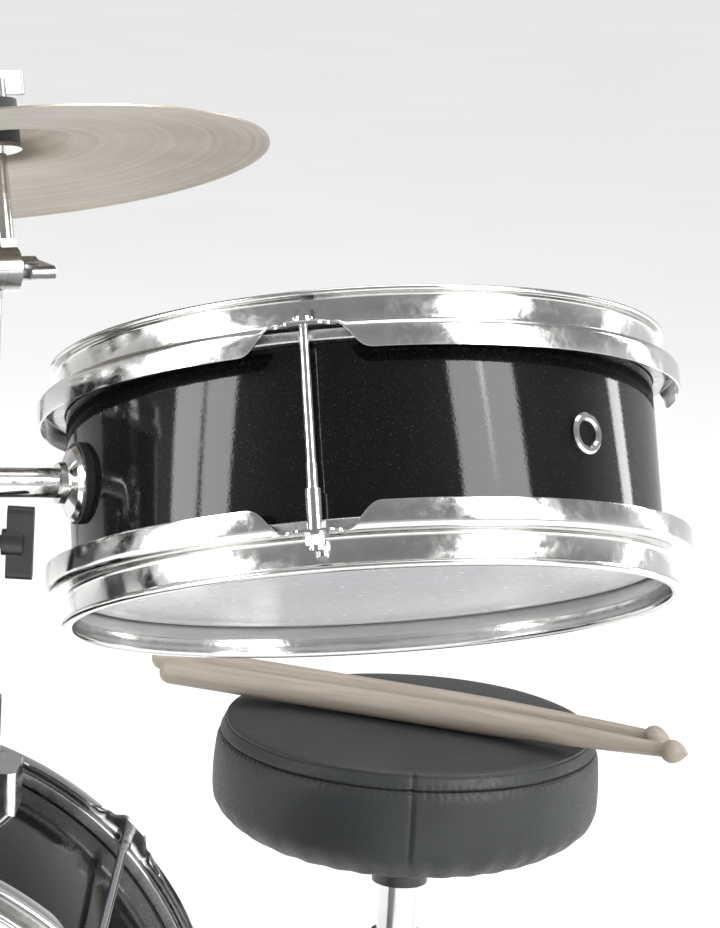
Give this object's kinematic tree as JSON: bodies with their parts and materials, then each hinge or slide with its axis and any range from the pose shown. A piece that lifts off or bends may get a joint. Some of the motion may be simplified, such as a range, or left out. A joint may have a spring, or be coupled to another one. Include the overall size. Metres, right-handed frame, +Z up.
{
  "type": "acoustic drum kit",
  "caption": "Small acoustic drum kit: bass drum, side drum and tom on arms, tilting cymbal, pedal with beater, round stool and sticks.",
  "frame": {"origin": "the middle of the kit's bounding box, on the floor", "axes": "+X to the right seen from the audience, +Y towards the player, +Z up"},
  "size_m": [0.7245, 0.5641, 0.6506],
  "materials": {
    "black_wrap": "glossy black wrap on ply",
    "chrome": "polished",
    "steel": "plated",
    "white_film": "satin translucent white",
    "grey_film": "satin grey",
    "cymbal_brass": "lathed, dull",
    "black_cast": "satin black",
    "black_plastic": "satin",
    "black_rubber": "matt",
    "black_vinyl": "soft grained vinyl",
    "felt": "pressed felt",
    "maple": "sealed"
  },
  "bodies": {
    "kit": {"bass_shell": "black_wrap", "bass_front_hoop": "chrome", "bass_rear_hoop": "chrome", "bass_heads": "grey_film", "bass_tension_rods": "steel", "stand_brackets": "chrome", "spur_brackets": "chrome", "bracket_wing_bolts": "black_plastic", "pedal_base_plate": "steel", "pedal_frame": "black_cast", "pedal_hoop_clamp": "black_cast", "pedal_heel_plate": "black_cast", "pedal_spring": "steel"},
    "left_spur": {"spur_rod_left": "chrome", "spur_tip_left": "black_rubber"},
    "right_spur": {"spur_rod_right": "chrome", "spur_tip_right": "black_rubber"},
    "post": {"post_tube": "chrome", "arm_holder": "black_cast", "holder_wing_bolts": "black_plastic"},
    "right_arm": {"side_drum_arm": "chrome"},
    "left_arm": {"tom_arm": "chrome"},
    "side_drum": {"side_drum_shell": "black_wrap", "side_drum_top_hoop": "chrome", "side_drum_bottom_hoop": "chrome", "side_drum_top_head": "white_film", "side_drum_bottom_head": "white_film", "side_drum_tension_rods": "steel", "side_drum_sleeve_nuts": "steel", "side_drum_mount_gasket": "black_rubber", "side_drum_mount_plate": "chrome", "side_drum_vent_grommet": "chrome"},
    "tom": {"tom_shell": "black_wrap", "tom_top_hoop": "chrome", "tom_bottom_hoop": "chrome", "tom_heads": "white_film", "tom_tension_rods": "steel", "tom_mount_plate": "chrome"},
    "cymbal_stand": {"cymbal_rod": "chrome"},
    "tilter": {"cymbal_tilter": "chrome", "cymbal_felts": "felt", "cymbal_wing_nut": "steel", "tilter_wing_bolt": "steel"},
    "cymbal": {"cymbal": "cymbal_brass"},
    "footboard": {"pedal_footboard": "black_cast", "pedal_link": "steel"},
    "beater": {"pedal_axle": "steel", "beater_rod": "chrome", "beater_head": "felt"},
    "stool": {"stool_column": "black_cast", "stool_height_bolt": "black_plastic", "stool_leg_1": "chrome", "stool_leg_2": "chrome", "stool_leg_3": "chrome", "stool_feet": "black_rubber"},
    "seat_post": {"stool_seat_post": "chrome"},
    "seat": {"stool_seat_plate": "black_cast", "stool_cushion": "black_vinyl"},
    "front_stick": {"stick_front": "maple"},
    "rear_stick": {"stick_rear": "maple"}
  },
  "joints": [
    {"name": "left_spur_length", "type": "slide", "parent": "kit", "child": "left_spur", "axis": [0.1654, 0.3048, 0.938], "range_m": [0, 0.05]},
    {"name": "right_spur_length", "type": "slide", "parent": "kit", "child": "right_spur", "axis": [-0.1654, 0.3048, 0.938], "range_m": [0, 0.05]},
    {"name": "post_height", "type": "slide", "parent": "kit", "child": "post", "axis": [0, 0, 1], "range_m": [-0.004, 0.04]},
    {"name": "right_arm_swivel", "type": "hinge", "parent": "post", "child": "right_arm", "pos_m": [-0.0038, -0.1982, 0.4872], "axis": [0, 0, 1], "range_deg": [-25, 4]},
    {"name": "left_arm_swivel", "type": "hinge", "parent": "post", "child": "left_arm", "pos_m": [-0.104, -0.1982, 0.4872], "axis": [0, 0, 1], "range_deg": [-4, 25]},
    {"name": "side_drum_tilt", "type": "hinge", "parent": "right_arm", "child": "side_drum", "pos_m": [-0.0038, -0.1982, 0.4872], "axis": [0.9319, 0.3615, -0.0297], "range_deg": [-4, 22]},
    {"name": "tom_tilt", "type": "hinge", "parent": "left_arm", "child": "tom", "pos_m": [-0.104, -0.1982, 0.4872], "axis": [0.9319, -0.3615, 0.0297], "range_deg": [-5, 14]},
    {"name": "cymbal_height", "type": "slide", "parent": "kit", "child": "cymbal_stand", "axis": [0, 0, 1], "range_m": [0, 0.025]},
    {"name": "cymbal_tilt", "type": "hinge", "parent": "cymbal_stand", "child": "tilter", "pos_m": [-0.00024, -0.09152, 0.56115], "axis": [-0.8824, -0.4705, 0], "range_deg": [-15, 12]},
    {"name": "cymbal_rock", "type": "hinge", "parent": "tilter", "child": "cymbal", "pos_m": [-0.01064, -0.07202, 0.6227], "axis": [-0.8824, -0.4705, 0], "range_deg": [-4, 4]},
    {"name": "footboard_press", "type": "hinge", "parent": "kit", "child": "footboard", "pos_m": [-0.0539, 0.1496, 0.012], "axis": [1, 0, 0], "range_deg": [0, 5]},
    {"name": "beater_swing", "type": "hinge", "parent": "kit", "child": "beater", "pos_m": [-0.0539, -0.0058, 0.088], "axis": [1, 0, 0], "range_deg": [0, 40], "stiffness_Nm_per_rad": 0.15, "springref_deg": -22.92, "deforming": ["pedal_spring"]},
    {"name": "stool_place", "type": "slide", "parent": "kit", "child": "stool", "axis": [1, 0, 0], "range_m": [0, 0.25]},
    {"name": "seat_height", "type": "slide", "parent": "stool", "child": "seat_post", "axis": [0, 0, 1], "range_m": [-0.02, 0.04]},
    {"name": "seat_swivel", "type": "hinge", "parent": "seat_post", "child": "seat", "pos_m": [0.1928, 0.1784, 0], "axis": [0, 0, 1], "continuous": true},
    {"name": "front_stick_lift", "type": "slide", "parent": "seat", "child": "front_stick", "axis": [0, 0, 1], "range_m": [0, 0.15]},
    {"name": "rear_stick_lift", "type": "slide", "parent": "seat", "child": "rear_stick", "axis": [0, 0, 1], "range_m": [0, 0.15]}
  ],
  "couplings": [
    {"joint": "beater_swing", "follows": "footboard_press", "ratio": 8}
  ]
}
